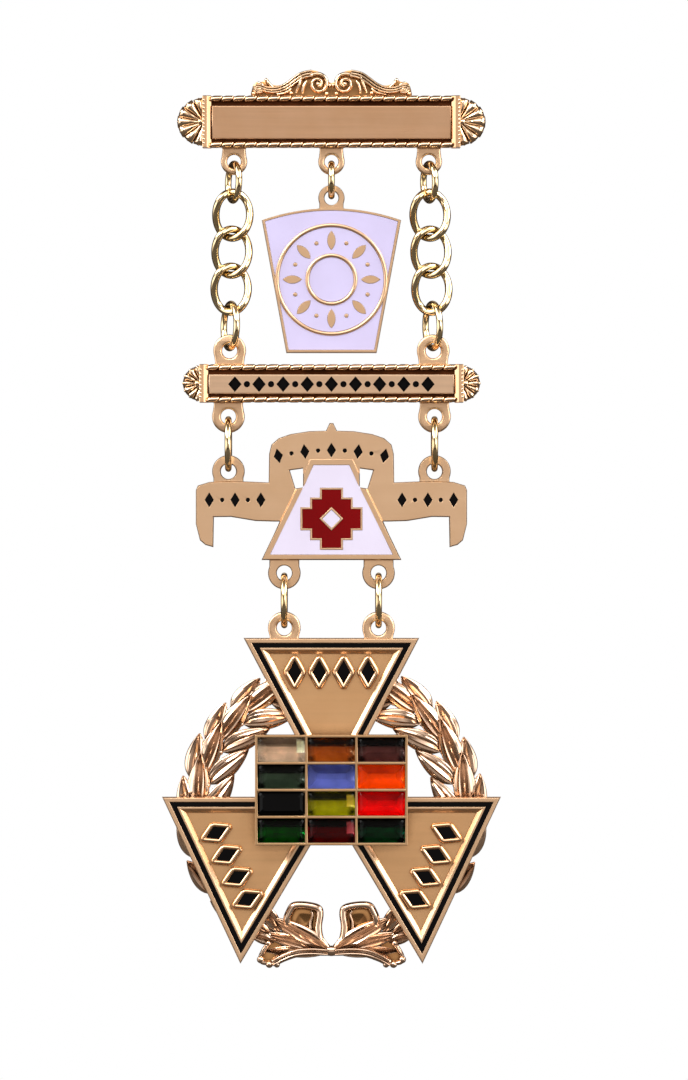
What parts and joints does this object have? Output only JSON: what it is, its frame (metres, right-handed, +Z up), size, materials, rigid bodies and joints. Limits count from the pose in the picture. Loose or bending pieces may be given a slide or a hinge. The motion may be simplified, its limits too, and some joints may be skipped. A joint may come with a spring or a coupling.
{
  "type": "hanging breast jewel",
  "caption": "Hanging breast jewel: pin bar, keystone drop, lower bar on two chains, ribbon plate, and three triangles with a stone setting over a laurel wreath.",
  "frame": {"origin": "middle of the brooch pin behind the top bar, where the jewel is pinned on", "axes": "+Z up along the hanging line, front faces -Y, +X to the viewer's right"},
  "size_m": [0.054, 0.0088, 0.1433],
  "materials": {
    "gilt": "brushed and polished rose gilt",
    "yellow_gilt": "polished yellow gilt",
    "white_enamel": "gloss",
    "black_enamel": "gloss",
    "red_enamel": "gloss",
    "stone_champagne": "step-cut, polished",
    "stone_amber": "step-cut, polished",
    "stone_garnet_brown": "step-cut, polished",
    "stone_smoky_green": "step-cut, polished",
    "stone_sapphire_blue": "step-cut, polished",
    "stone_fire_orange": "step-cut, polished",
    "stone_jet": "step-cut, polished",
    "stone_olive": "step-cut, polished",
    "stone_ruby_red": "step-cut, polished",
    "stone_emerald": "step-cut, polished",
    "stone_dark_garnet": "step-cut, polished",
    "stone_teal_green": "step-cut, polished"
  },
  "bodies": {
    "hanger": {"top_bar": "gilt", "brooch_pin": "gilt", "left_chain_ring_top": "yellow_gilt", "left_link_1": "yellow_gilt", "left_link_2": "yellow_gilt", "left_link_3": "yellow_gilt", "left_chain_ring_low": "yellow_gilt", "right_chain_ring_top": "yellow_gilt", "right_link_1": "yellow_gilt", "right_link_2": "yellow_gilt", "right_link_3": "yellow_gilt", "right_chain_ring_low": "yellow_gilt", "lower_bar": "gilt", "lower_bar_enamel": "black_enamel"},
    "keystone": {"keystone_ring": "yellow_gilt", "keystone_plate": "gilt", "keystone_enamel": "white_enamel"},
    "banner": {"banner_ring_left": "yellow_gilt", "banner_ring_right": "yellow_gilt", "banner_plate": "gilt", "banner_white_enamel": "white_enamel", "banner_red_enamel": "red_enamel", "banner_black_enamel": "black_enamel"},
    "jewel": {"jewel_ring_left": "yellow_gilt", "jewel_ring_right": "yellow_gilt", "triangle_plate": "gilt", "top_triangle_enamel": "black_enamel", "left_triangle_enamel": "black_enamel", "right_triangle_enamel": "black_enamel", "wreath": "gilt", "stone_setting": "gilt", "stone_1": "stone_champagne", "stone_2": "stone_amber", "stone_3": "stone_garnet_brown", "stone_4": "stone_smoky_green", "stone_5": "stone_sapphire_blue", "stone_6": "stone_fire_orange", "stone_7": "stone_jet", "stone_8": "stone_olive", "stone_9": "stone_ruby_red", "stone_10": "stone_emerald", "stone_11": "stone_dark_garnet", "stone_12": "stone_teal_green"}
  },
  "joints": [
    {"name": "keystone_swing", "type": "hinge", "parent": "hanger", "child": "keystone", "pos_m": [0, -0.0025, -0.00785], "axis": [1, 0, 0], "range_deg": [-60, 60]},
    {"name": "banner_swing", "type": "hinge", "parent": "hanger", "child": "banner", "pos_m": [0, -0.0025, -0.04871], "axis": [1, 0, 0], "range_deg": [-60, 60]},
    {"name": "jewel_swing", "type": "hinge", "parent": "banner", "child": "jewel", "pos_m": [0, -0.0025, -0.07361], "axis": [1, 0, 0], "range_deg": [-60, 60]}
  ]
}
